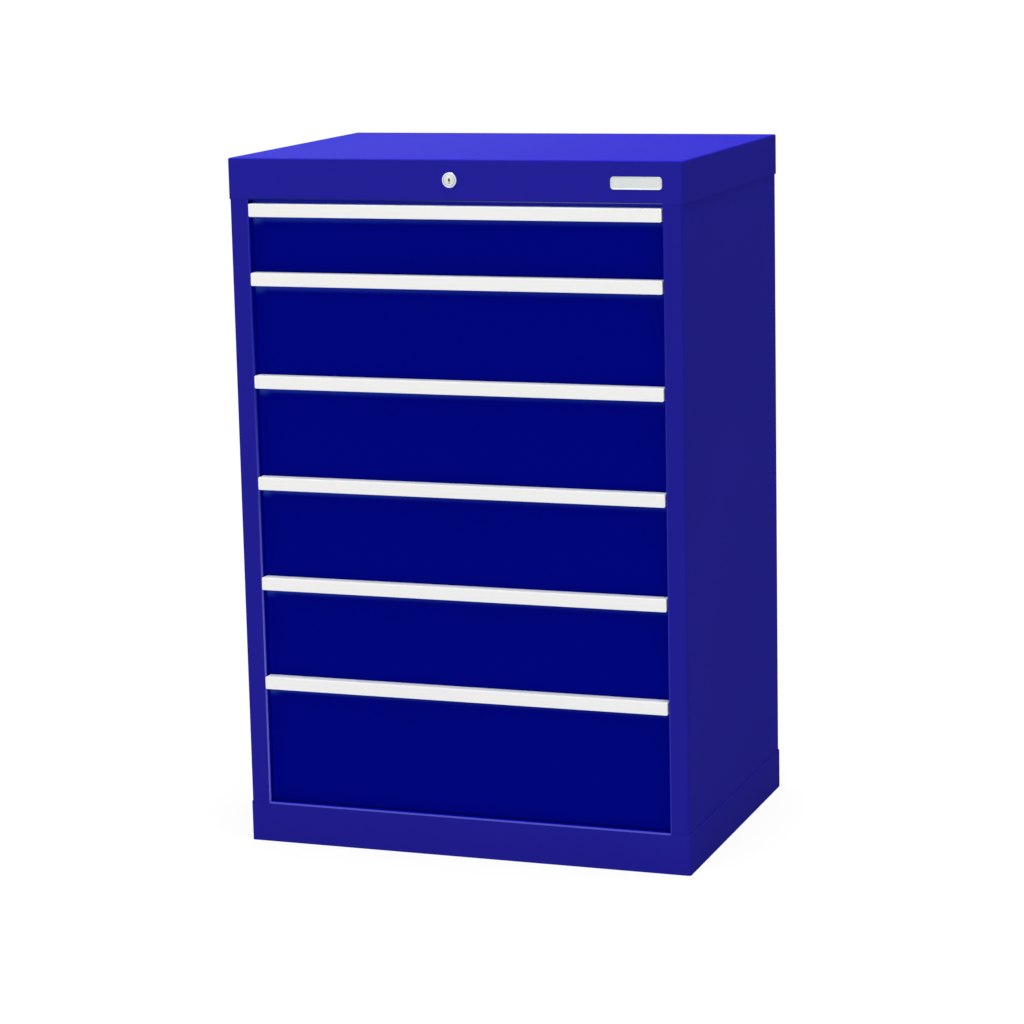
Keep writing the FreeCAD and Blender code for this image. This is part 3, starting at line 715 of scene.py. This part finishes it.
@dataclass
class Casing(SubAssembly):
    """Folded casing: walls, cover, plinth and back panel, with the rivets of the back and the bare plate.

    The tones are painted highlights and painted shade, most in narrow lines along the folds, with painted light on
    the top. Their widths and fades are measured from the edges of the sheet that carries them. The plate's levels
    are an inset in millimetres and a share of its thickness.
    """

    rivet: BlindRivet = field(default_factory=BlindRivet)
    rivet_rows: int = 4
    sheet: float = 1.5 * MM
    fold: float = 2.0 * MM
    margin: float = 1.0 * MM
    wall_tuck: float = 50.5 * MM
    edge_highlight_line: float = 1.3 * MM
    turned_highlight_line: Span = (1.0 * MM, 5.6 * MM)
    turned_highlight_inset: float = 0.5 * MM
    turned_highlight_fade: Span = (0.11, 0.1)
    inside_shade_skin: float = 0.6 * MM
    inside_shade_reach: float = 30.0 * MM
    right_highlight_faint_share: float = 0.2
    top_light_right_start: float = -0.25
    rail_top_gap: float = 3.0 * MM
    foot_shade_line: float = 1.6 * MM
    foot_highlight_line: float = 0.9 * MM
    foot_highlight_fade: Span = (-0.15, 0.1)
    ledge_highlight_line: float = 5.0 * MM
    shaded_ledge: float = 14.0 * MM
    edge_highlight_tone: Rgb = (44, 48, 174)
    right_edge_highlight_tone: Rgb = (44, 46, 168)
    turned_highlight_tone: Rgb = (136, 132, 255)
    inside_shade_tone: Rgb = (3, 12, 162)
    ledge_highlight_tone: Rgb = (84, 82, 192)
    shaded_ledge_tone: Rgb = (0, 10, 150)
    foot_shade_tone: Rgb = (22, 30, 112)
    foot_highlight_tone: Rgb = (88, 82, 138)
    rail_tone: Rgb = (33, 30, 144)
    top_light_tone: Rgb = (41, 38, 172)
    top_light_right_tone: Rgb = (32, 26, 170)
    plate_colour: Rgb = (184, 188, 188)
    plate_corner: float = 5.0 * MM
    plate_corner_steps: int = 8
    plate_levels: tuple[Span, ...] = (
        (0.0, 0.0), (0.0, 0.55), (0.25, 0.95), (0.6, 1.0), (1.1, 1.0), (1.5, 0.62), (1.9, 0.55)
    )

    def build(self) -> None:
        """Dress the casing, and make its rivets and its plate."""
        self.walls()
        self.cover()
        self.plinth()
        self.dress("back_panel", self.finishes.casing)
        self.rivets()
        self.plate()

    def walls(self) -> None:
        """Dress both walls, with painted highlights along the stiles' edges and painted shade on the sheet inside
        the opening.
        """
        low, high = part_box("side_panel_right")
        foot, head = low.z, high.z - self.wall_tuck
        upright = (foot, head)
        front = (low.y - self.margin, low.y + self.fold)
        turned = (low.y + self.turned_highlight_line[0], low.y + self.turned_highlight_line[1])
        inside = (low.y + self.fold, low.y + self.inside_shade_reach)
        head_gap, foot_gap = self.turned_highlight_fade
        for side, name in ((Side.LEFT, "left"), (Side.RIGHT, "right")):
            edge = side.value * low.x
            # painted shade: the sheet inside the opening takes a deeper blue, as in the shade beside the drawers
            marks = [Mark(self.inside_shade_tone, x=(edge - self.inside_shade_skin, edge + self.inside_shade_skin), y=inside)]
            if side is Side.LEFT:
                # painted highlight: a lighter line along the left stile's front edge, fullest at the top
                marks.append(Mark(self.edge_highlight_tone, x=(edge - self.edge_highlight_line, edge), y=front, z=upright,
                                  fades=(Fade("Z", foot, head),)))
                # painted highlight: a bright line where the left stile turns back, strongest towards the foot
                marks.append(Mark(self.turned_highlight_tone, x=(edge - self.turned_highlight_inset, edge + self.margin), y=turned,
                                  z=upright, fades=(Fade("Z", head - head_gap, foot + foot_gap),)))
            else:
                # painted highlight: a lighter line along the right stile's inner edge, strongest at the foot
                marks.append(Mark(self.right_edge_highlight_tone, x=(edge, edge + self.fold), y=front, z=upright,
                                  fades=(Fade("Z", head, foot, self.right_highlight_faint_share),)))
            self.dress(f"side_panel_{name}", self.finishes.sheet(f"{name}_wall_blue_coat", tuple(marks)))

    def cover(self) -> None:
        """Dress the cover, with painted shade and highlight at the top rail's foot, and painted light on top, deeper
        blue to the right.
        """
        low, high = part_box("top_cover")
        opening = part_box("side_panel_right")[0].x
        across = (-opening, opening)
        front = (low.y - self.margin, low.y + self.sheet)
        level = (high.z - self.margin, high.z + self.margin)
        highlight_from, highlight_gap = self.foot_highlight_fade
        marks = (
            # painted light: the top lighter than the sheet's own blue, turning deeper blue towards the right
            Mark(self.top_light_tone, z=level),
            Mark(self.top_light_right_tone, z=level, fades=(Fade("X", self.top_light_right_start, high.x),)),
            Mark(self.rail_tone, y=front, z=(low.z, high.z - self.rail_top_gap)),
            # painted shade: a darker line along the foot of the top rail
            Mark(self.foot_shade_tone, x=across, y=front, z=(low.z - self.margin, low.z + self.foot_shade_line)),
            # painted highlight: a pale line on the rail's lower fold, fuller towards the right
            Mark(self.foot_highlight_tone, x=across, y=front, z=(low.z, low.z + self.foot_highlight_line),
                 fades=(Fade("X", highlight_from, opening - highlight_gap),)),
        )
        self.dress("top_cover", self.finishes.sheet("cover_blue_coat", marks))

    def plinth(self) -> None:
        """Dress the plinth, with a painted highlight on the front edge of the ledge under the lowest drawer and
        painted shade behind it.
        """
        low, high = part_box("base_plinth")
        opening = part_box("side_panel_right")[0].x
        across = (-opening, opening)
        level = (high.z - self.margin, high.z + self.margin)
        highlight_back = low.y + self.ledge_highlight_line
        marks = (
            # painted highlight on the ledge's front edge, then painted shade on the ledge behind it
            Mark(self.ledge_highlight_tone, x=across, y=(low.y - self.margin, highlight_back), z=level),
            Mark(self.shaded_ledge_tone, x=across, y=(highlight_back, highlight_back + self.shaded_ledge), z=level),
        )
        self.dress("base_plinth", self.finishes.sheet("plinth_blue_coat", marks))

    def rivets(self) -> bpy.types.Object:
        """Make the domed rivets of the back panel.

        Returns:
            The piece with all rivet heads.
        """
        low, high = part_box("back_rivets")
        shape = bmesh.new()
        radius = self.rivet.radius
        for x in (low.x + radius, high.x - radius):
            for row in range(self.rivet_rows):
                share = row / (self.rivet_rows - 1)
                z = low.z + radius + (high.z - low.z - 2 * radius) * share
                self.rivet.add(shape, Vector((x, low.y, z)), Vector((0, 1, 0)))
        piece = new_piece("back_rivet_heads", shape, self.finishes.casing, "cabinet")
        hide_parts("back_rivets")
        return piece

    def plate(self) -> bpy.types.Object:
        """Make the bare plate on the top rail, with a raised rim and a level field.

        Returns:
            The plate.
        """
        low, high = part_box("name_plate")
        middle = (low + high) / 2
        half = (high - low) / 2
        shape = bmesh.new()
        loops = []
        for inset, share in self.plate_levels:
            loops.append(self.plate_loop(shape, middle, half, inset * MM, high.y - (high.y - low.y) * share))
        for outer, inner in zip(loops, loops[1:]):
            for step in range(len(outer)):
                after = (step + 1) % len(outer)
                shape.faces.new((outer[step], outer[after], inner[after], inner[step]))
        shape.faces.new(loops[-1])
        shape.faces.new(loops[0])
        brushed = PlatedSteel("brushed_aluminium", self.plate_colour, 0.36, (0.02, 1.0, 1.0), 0.03).material()
        piece = new_piece("plate_with_rim", shape, brushed, "cabinet")
        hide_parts("name_plate")
        return piece

    def plate_loop(self, shape: bmesh.types.BMesh, middle: Vector, half: Vector, inset: float,
                   y: float) -> list[bmesh.types.BMVert]:
        """Add one closed loop of the plate's rounded outline.

        Args:
            shape: Mesh that the loop is added to.
            middle: Centre of the plate.
            half: Half of the plate's size.
            inset: Distance inside the plate's edge.
            y: Depth of the loop.

        Returns:
            The loop's vertices in order.
        """
        radius = self.plate_corner - inset
        reach_x = half.x - inset - radius
        reach_z = half.z - inset - radius
        loop = []
        for quarter, (side_x, side_z) in enumerate(((1, 1), (-1, 1), (-1, -1), (1, -1))):
            for step in range(self.plate_corner_steps + 1):
                angle = math.radians(90 * (quarter + step / self.plate_corner_steps))
                x = middle.x + side_x * reach_x + radius * math.cos(angle)
                z = middle.z + side_z * reach_z + radius * math.sin(angle)
                loop.append(shape.verts.new((x, y, z)))
        return loop


@dataclass
class SlideFrame(SubAssembly):
    """Uprights and fixed rails inside the walls."""

    def build(self) -> None:
        """Dress the uprights and the fixed rails."""
        for node in ("uprights", "fixed_rails_left", "fixed_rails_right"):
            self.dress(node, self.finishes.zinc, 0.2 * MM)


@dataclass
class CentralLock(SubAssembly):
    """Cylinder lock with the bars that it moves.

    The ring's lip is given by radius and depth in millimetres, and so are the steps of the plug's face. The
    keyhole is half an outline, by width and height in millimetres from its top round to its foot.
    """

    ring_thick: float = 3.0 * MM
    ring_round: float = 1.3 * MM
    ring_round_steps: int = 6
    ring_lip: tuple[Span, ...] = ((9.4, 0.0), (9.1, 0.1), (8.8, 0.4))
    ring_steps: int = 72
    barrel_radius: float = 10.0 * MM
    bore_radius: float = 8.55 * MM
    bore_depth: float = 0.5 * MM
    face_thick: float = 0.3 * MM
    face_points: int = 96
    face_steps: tuple[Span, ...] = (
        (5.7, 0.0), (5.85, 0.09), (6.2, 0.09), (6.35, 0.0), (8.0, 0.0), (8.3, 0.2), (8.3, 0.3)
    )
    keyhole_lead: float = 0.1 * MM
    keyhole_flare: float = 1.05
    keyhole: tuple[Span, ...] = (
        (0.0, 3.5), (0.75, 2.2), (1.6, 0.5), (1.5, -0.7), (0.5, -2.2), (0.42, -4.7), (0.0, -5.1)
    )
    wafer_count: int = 4
    wafer_gap: float = 1.1 * MM
    wafer_first: float = 1.0 * MM
    wafer_size: tuple[float, float, float] = (2.6 * MM, 0.5 * MM, 3.4 * MM)
    wafer_side: float = 0.35 * MM
    wafer_drops: Span = (1.6 * MM, 0.4 * MM)
    wafer_edge: float = 0.1 * MM
    ring_colour: Rgb = (203, 204, 238)
    plug_colour: Rgb = (183, 186, 178)
    wafer_colour: Rgb = (82, 78, 76)

    def build(self) -> None:
        """Make the housing and the plug's face, dress the other pieces, and put the wafers into the keyhole."""
        plug = PlatedSteel("satin_nickel", self.plug_colour, 0.36, cloud=0.03).material()
        self.housing(PlatedSteel("bright_nickel", self.ring_colour, 0.42, cloud=0.02).material())
        self.dress("lock_plug", plug, 0.12 * MM)
        self.plug_face(plug)
        for node in ("lock_nut", "lock_cam", "draw_bar", "locking_bar", "locking_hooks", "bar_guides"):
            self.dress(node, self.finishes.zinc, 0.2 * MM)
        self.wafers()

    def housing(self, finish: bpy.types.Material) -> bpy.types.Object:
        """Make the housing in one turning: the rounded ring, the step down to the plug, and the barrel.

        Args:
            finish: Material of the housing.

        Returns:
            The housing.
        """
        low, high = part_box("lock_housing")
        length = high.y - low.y
        radius = high.x
        shoulder = length - self.ring_thick
        profile = [(self.bore_radius, 0.0), (self.barrel_radius, 0.0), (self.barrel_radius, shoulder)]
        profile += [(radius, shoulder), (radius, length - self.ring_round)]
        for step in range(1, self.ring_round_steps + 1):
            angle = math.radians(90 * step / self.ring_round_steps)
            profile.append((
                radius - self.ring_round * (1 - math.cos(angle)), length - self.ring_round * (1 - math.sin(angle))
            ))
        profile += [(reach * MM, length - depth * MM) for reach, depth in self.ring_lip]
        profile += [(self.bore_radius, length - self.bore_depth), (self.bore_radius, 0.0)]
        shape = bmesh.new()
        back = Vector((0, high.y, (low.z + high.z) / 2))
        lathe(shape, profile, facing(back, Vector((0, -1, 0))), self.ring_steps)
        bmesh.ops.remove_doubles(shape, verts=shape.verts, dist=self.same_point)
        piece = new_piece("turned_lock_housing", shape, finish, "cabinet")
        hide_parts("lock_housing")
        return piece

    def keyhole_outline(self) -> list[Span]:
        """Outline of the keyhole in millimetres, at even steps clockwise from its top.

        Returns:
            The outline's points, as many as the plug's face has in each loop.
        """
        right = list(self.keyhole)
        corners = right + [(-x, z) for x, z in reversed(right[1:-1])] + [right[0]]
        lengths = [math.dist(first, second) for first, second in zip(corners, corners[1:])]
        outline = []
        for number in range(self.face_points):
            way = sum(lengths) * number / self.face_points
            place = 0
            while way > lengths[place]:
                way -= lengths[place]
                place += 1
            share = way / lengths[place]
            (x, z), (next_x, next_z) = corners[place], corners[place + 1]
            outline.append((x + (next_x - x) * share, z + (next_z - z) * share))
        return outline

    def plug_face(self, finish: bpy.types.Material) -> bpy.types.Object:
        """Make the turned face of the plug, with its groove, its broken rim and the keyhole through it.

        Args:
            finish: Material of the face.

        Returns:
            The face.
        """
        low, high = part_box("lock_plug")
        centre_z = (low.z + high.z) / 2
        front = low.y - self.face_thick
        turns = [2 * math.pi * step / self.face_points for step in range(self.face_points)]
        circle = [(math.sin(turn), math.cos(turn)) for turn in turns]
        outline = self.keyhole_outline()
        rings = [(outline, 1.0, low.y), (outline, 1.0, front + self.keyhole_lead)]
        rings.append((outline, self.keyhole_flare, front))
        rings += [(circle, radius, front + depth * MM) for radius, depth in self.face_steps]
        shape = bmesh.new()
        loops = []
        for corners, scale, y in rings:
            reach = scale * MM
            loops.append([shape.verts.new((x * reach, y, centre_z + z * reach)) for x, z in corners])
        loops.append(loops[0])
        for inner, outer in zip(loops, loops[1:]):
            for step in range(self.face_points):
                after = (step + 1) % self.face_points
                shape.faces.new((inner[step], inner[after], outer[after], outer[step]))
        return new_piece("plug_face", shape, finish, "lock")

    def wafers(self) -> bpy.types.Object:
        """Make the wafers that show in the keyhole.

        Returns:
            The piece with all wafers.
        """
        low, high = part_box("lock_plug")
        centre_z = (low.z + high.z) / 2
        shape = bmesh.new()
        for number in range(self.wafer_count):
            y = low.y + self.wafer_first + number * self.wafer_gap
            place = Vector((self.wafer_side, y, centre_z - self.wafer_drops[number % 2]))
            made = bmesh.ops.create_cube(shape, size=1.0)["verts"]
            bmesh.ops.scale(shape, vec=Vector(self.wafer_size), verts=made)
            bmesh.ops.translate(shape, vec=place, verts=made)
        bmesh.ops.bevel(shape, geom=shape.edges, offset=self.wafer_edge, segments=2, affect="EDGES")
        brass = PlatedSteel("dark_brass", self.wafer_colour, 0.45).material()
        return new_piece("keyhole_wafers", shape, brass, "lock")


@dataclass
class Drawer(SubAssembly):
    """One drawer: front, grip strip, caps, tray, strips and its slides, with their fixings.

    The places of the fixings are measured from the middle of the cabinet or from the ends of their piece, and
    the buffer is given by radius and height in millimetres.
    """

    number: int = 1
    tray_sheet: float = 1.2 * MM
    tray_screw_x: tuple[float, ...] = (-0.22, -0.075, 0.075, 0.22)
    rail_screw_gaps: tuple[float, ...] = (0.035, 0.2, -0.04)
    strip_depth: float = 5.0 * MM
    strip_rivet_gap: float = 12.0 * MM
    buffer_x: tuple[float, ...] = (-0.2, 0.2)
    buffer_profile: tuple[Span, ...] = ((0.0, 4.0), (3.0, 4.0), (4.2, 3.6), (5.0, 2.6), (5.5, 0.8), (6.0, 0.0))
    rail_screw: SocketScrew = field(default_factory=lambda: SocketScrew(3.6 * MM, 1.6 * MM, 1.6 * MM, 1.0 * MM))
    tray_screw: SocketScrew = field(default_factory=SocketScrew)
    strip_rivet: BlindRivet = field(default_factory=lambda: BlindRivet(2.6 * MM, 0.9 * MM, 0.8 * MM))
    side_light_fade: float = 9.5 * MM
    under_light_fade: Span = (11.0 * MM, 2.0 * MM)
    under_light_start: float = 0.1
    under_light_faint_share: float = 0.6
    corner_light_drop: float = 16.0 * MM
    corner_light_fade: Span = (20.0 * MM, 2.0 * MM)
    edge_light_fade: float = 0.5 * MM
    strip_top: Span = (0.6 * MM, 1.0 * MM)
    front_colour: Rgb = (0, 5, 122)
    front_edge_light_tone: Rgb = (40, 54, 222)
    front_side_light_tone: Rgb = (0, 9, 162)
    under_strip_light_tone: Rgb = (38, 64, 186)
    under_corner_light_tone: Rgb = (44, 76, 176)
    strip_colour: Rgb = (231, 231, 230)
    strip_top_shade_tone: Rgb = (222, 223, 223)

    @property
    def body(self) -> str:
        """Name of the drawer's body."""
        return f"drawer_{self.number}"

    def node(self, part: str) -> str:
        """Name of one of the drawer's nodes."""
        return f"{self.body}_{part}"

    def build(self) -> None:
        """Dress the drawer and make its fixings."""
        self.dress(self.node("front"), self.front_coat().material(), 0.6 * MM)
        self.dress(self.node("grip"), self.strip_coat().material(), 0.3 * MM)
        self.dress(self.node("end_caps"), self.finishes.caps, 0.2 * MM)
        self.dress(self.node("tray"), self.finishes.trays, 0.4 * MM)
        self.dress(self.node("slot_strips"), self.finishes.trays, 0.15 * MM)
        self.dress(self.node("rails"), self.finishes.zinc, 0.2 * MM)
        self.dress(self.node("middle_rails"), self.finishes.zinc, 0.2 * MM)
        self.fixings()
        self.buffers()

    def front_coat(self) -> MarkedCoat:
        """Powder coat of the front, with painted light above and under the strip and beside the left stile.

        Returns:
            The coat.
        """
        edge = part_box(self.node("front"))[0].x
        low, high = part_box(self.node("grip"))
        below, above = self.under_light_fade
        corner_start, corner_end = self.corner_light_fade
        under = Fade("Z", low.z - below, low.z + above)
        across = Fade("X", self.under_light_start, edge, self.under_light_faint_share)
        under_corner = Fade("Z", low.z - self.corner_light_drop, low.z)
        across_corner = Fade("X", edge + corner_start, edge + corner_end)
        marks = (
            # painted light: the front lighter towards its left edge, beside the stile
            Mark(self.front_side_light_tone, fades=(Fade("X", edge + self.side_light_fade, edge),)),
            # painted light: a pale band under the strip, as of light thrown back from it, fainter to the right
            Mark(self.under_strip_light_tone, fades=(under, across)),
            # painted light: a pale glow at the front's top left corner under the strip
            Mark(self.under_corner_light_tone, fades=(under_corner, across_corner)),
            # painted light: the front lighter above the top of the strip
            Mark(self.front_edge_light_tone, fades=(Fade("Z", high.z - self.edge_light_fade, high.z),)),
        )
        return MarkedCoat(f"{self.body}_blue_coat", self.front_colour, gloss=0.01, marks=marks)

    def strip_coat(self) -> MarkedCoat:
        """Powder coat of the grip strip, with painted shade along its top face.

        Returns:
            The coat.
        """
        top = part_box(self.node("grip"))[1].z
        below, above = self.strip_top
        # painted shade: the strip's top face a little darker than its front
        top_shade = Mark(self.strip_top_shade_tone, z=(top - below, top + above))
        name = f"{self.body}_strip_grey_coat"
        return MarkedCoat(name, self.strip_colour, gloss=0.3, drift=0.01, marks=(top_shade,))

    def fixings(self) -> bpy.types.Object:
        """Make the screws of the front and the slides, and the rivets of the slotted strips.

        Returns:
            The piece with all fixings.
        """
        shape = bmesh.new()
        low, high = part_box(self.node("tray"))
        middle_z = (low.z + high.z) / 2
        for x in self.tray_screw_x:
            self.tray_screw.add(shape, Vector((x, low.y + self.tray_sheet, middle_z)), Vector((0, 1, 0)))
        rail_low, rail_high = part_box(self.node("middle_rails"))
        rail_z = (rail_low.z + rail_high.z) / 2
        for side in Side:
            seat_x = side.value * (high.x + self.tray_sheet)
            for gap in self.rail_screw_gaps:
                y = (rail_low.y if gap > 0 else rail_high.y) + gap
                self.rail_screw.add(shape, Vector((seat_x, y, rail_z)), Vector((side.value, 0, 0)))
        strip_low, strip_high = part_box(self.node("slot_strips"))
        inset = self.strip_rivet_gap
        for side in Side:
            face_x = side.value * (strip_high.x - self.strip_depth)
            for y in (strip_low.y + inset, strip_high.y - inset):
                for z in (strip_low.z + inset, strip_high.z - inset):
                    self.strip_rivet.add(shape, Vector((face_x, y, z)), Vector((-side.value, 0, 0)))
        return new_piece(self.node("fixings"), shape, self.finishes.zinc, self.body)

    def buffers(self) -> bpy.types.Object:
        """Make the plastic buffers on the back wall of the tray.

        Returns:
            The piece with both buffers.
        """
        shape = bmesh.new()
        low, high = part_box(self.node("tray"))
        profile = [(radius * MM, height * MM) for radius, height in self.buffer_profile]
        for x in self.buffer_x:
            lathe(shape, profile, facing(Vector((x, high.y, (low.z + high.z) / 2)), Vector((0, 1, 0))))
        return new_piece(self.node("buffers"), shape, self.finishes.caps, self.body)


def towards(azimuth: float, elevation: float) -> Vector:
    """Direction from the cabinet to a lamp or the camera.

    Args:
        azimuth: Angle in degrees, 0 in front of the cabinet and positive to the right.
        elevation: Height above the horizon in degrees.

    Returns:
        The unit vector.
    """
    turn, rise = math.radians(azimuth), math.radians(elevation)
    return Vector((math.sin(turn) * math.cos(rise), -math.cos(turn) * math.cos(rise), math.sin(rise)))


@dataclass(frozen=True)
class Lamp:
    """Wide soft lamp, with its light on a surface square to it and its apparent width in degrees."""

    name: str
    strength: float
    width: float
    azimuth: float
    elevation: float
    distance: float = 5.0

    def build(self) -> None:
        """Make the lamp."""
        data = bpy.data.lights.new(self.name, "SUN")
        data.energy = self.strength * math.pi
        data.angle = math.radians(self.width)
        lamp = bpy.data.objects.new(self.name, data)
        bpy.context.scene.collection.objects.link(lamp)
        way = towards(self.azimuth, self.elevation)
        lamp.location = way * self.distance
        lamp.rotation_euler = way.to_track_quat("Z", "Y").to_euler()
        LOG.info("made %s", self.name)


@dataclass
class Studio:
    """Floor, background, lamps and the camera of the product picture.

    The camera's values are those of a pinhole camera fitted to the straight edges in the picture.
    """

    floor_reach: float = 60.0
    floor_steps: int = 96
    floor_finish: StudioFloor = field(default_factory=StudioFloor)
    sky: float = 0.45
    lamps: tuple[Lamp, ...] = (
        Lamp("overhead_lamp", strength=1.0, width=24, azimuth=55, elevation=85),
        Lamp("front_lamp", strength=0.35, width=50, azimuth=-25, elevation=22),
        Lamp("back_lamp", strength=0.3, width=30, azimuth=206, elevation=16),
    )
    camera_azimuth: float = 19.840
    camera_elevation: float = 10.812
    camera_roll: float = -1.248
    camera_distance: float = 4.8425
    camera_target: tuple[float, float, float] = (-0.00607, 0.0, 0.4687)
    lens: float = 112.925

    def build(self) -> None:
        """Make the floor, the background, the lamps and the camera."""
        self.floor()
        self.background()
        for lamp in self.lamps:
            lamp.build()
        self.camera()

    def floor(self) -> None:
        """Make the pale floor as a fine disc."""
        shape = bmesh.new()
        bmesh.ops.create_circle(shape, cap_ends=True, segments=self.floor_steps, radius=self.floor_reach)
        mesh = bpy.data.meshes.new("floor")
        shape.to_mesh(mesh)
        shape.free()
        floor = bpy.data.objects.new("floor", mesh)
        bpy.context.scene.collection.objects.link(floor)
        mesh.materials.append(self.floor_finish.material())
        LOG.info("made the floor")

    def background(self) -> None:
        """Make a white background that lights the object at the plain level of the sky."""
        world = bpy.data.worlds.new("studio")
        bpy.context.scene.world = world
        world.use_nodes = True
        tree = world.node_tree
        tree.nodes.clear()
        strength = tree.nodes.new("ShaderNodeMapRange")
        strength.inputs["To Min"].default_value = self.sky
        strength.inputs["To Max"].default_value = 1.0
        tree.links.new(seen_directly(tree), strength.inputs["Value"])
        shade = tree.nodes.new("ShaderNodeBackground")
        shade.inputs["Color"].default_value = (1.0, 1.0, 1.0, 1.0)
        tree.links.new(strength.outputs["Result"], shade.inputs["Strength"])
        output = tree.nodes.new("ShaderNodeOutputWorld")
        tree.links.new(shade.outputs["Background"], output.inputs["Surface"])
        LOG.info("made the background")

    def camera(self) -> None:
        """Make the camera at the picture's viewing angle."""
        data = bpy.data.cameras.new("camera")
        data.lens = self.lens
        data.clip_end = 4 * self.floor_reach
        camera = bpy.data.objects.new("camera", data)
        bpy.context.scene.collection.objects.link(camera)
        back = towards(self.camera_azimuth, self.camera_elevation)
        level = Vector((0, 0, 1)).cross(back).normalized()
        upright = back.cross(level)
        roll = math.radians(self.camera_roll)
        right = level * math.cos(roll) + upright * math.sin(roll)
        up = back.cross(right)
        place = Matrix((right, up, back)).transposed().to_4x4()
        place.translation = Vector(self.camera_target) + back * self.camera_distance
        camera.matrix_world = place
        bpy.context.scene.camera = camera
        LOG.info("made the camera")


def main() -> None:
    """Build the cabinet's finishes and fittings, then the studio."""
    logging.basicConfig(level=logging.INFO, format="%(name)s: %(message)s")
    bpy.context.scene.view_settings.view_transform = "Standard"
    finishes = Finishes.make()
    Casing(finishes).build()
    SlideFrame(finishes).build()
    CentralLock(finishes).build()
    for number in range(1, DRAWER_COUNT + 1):
        Drawer(finishes, number=number).build()
    Studio().build()


if __name__ == "__main__":
    main()
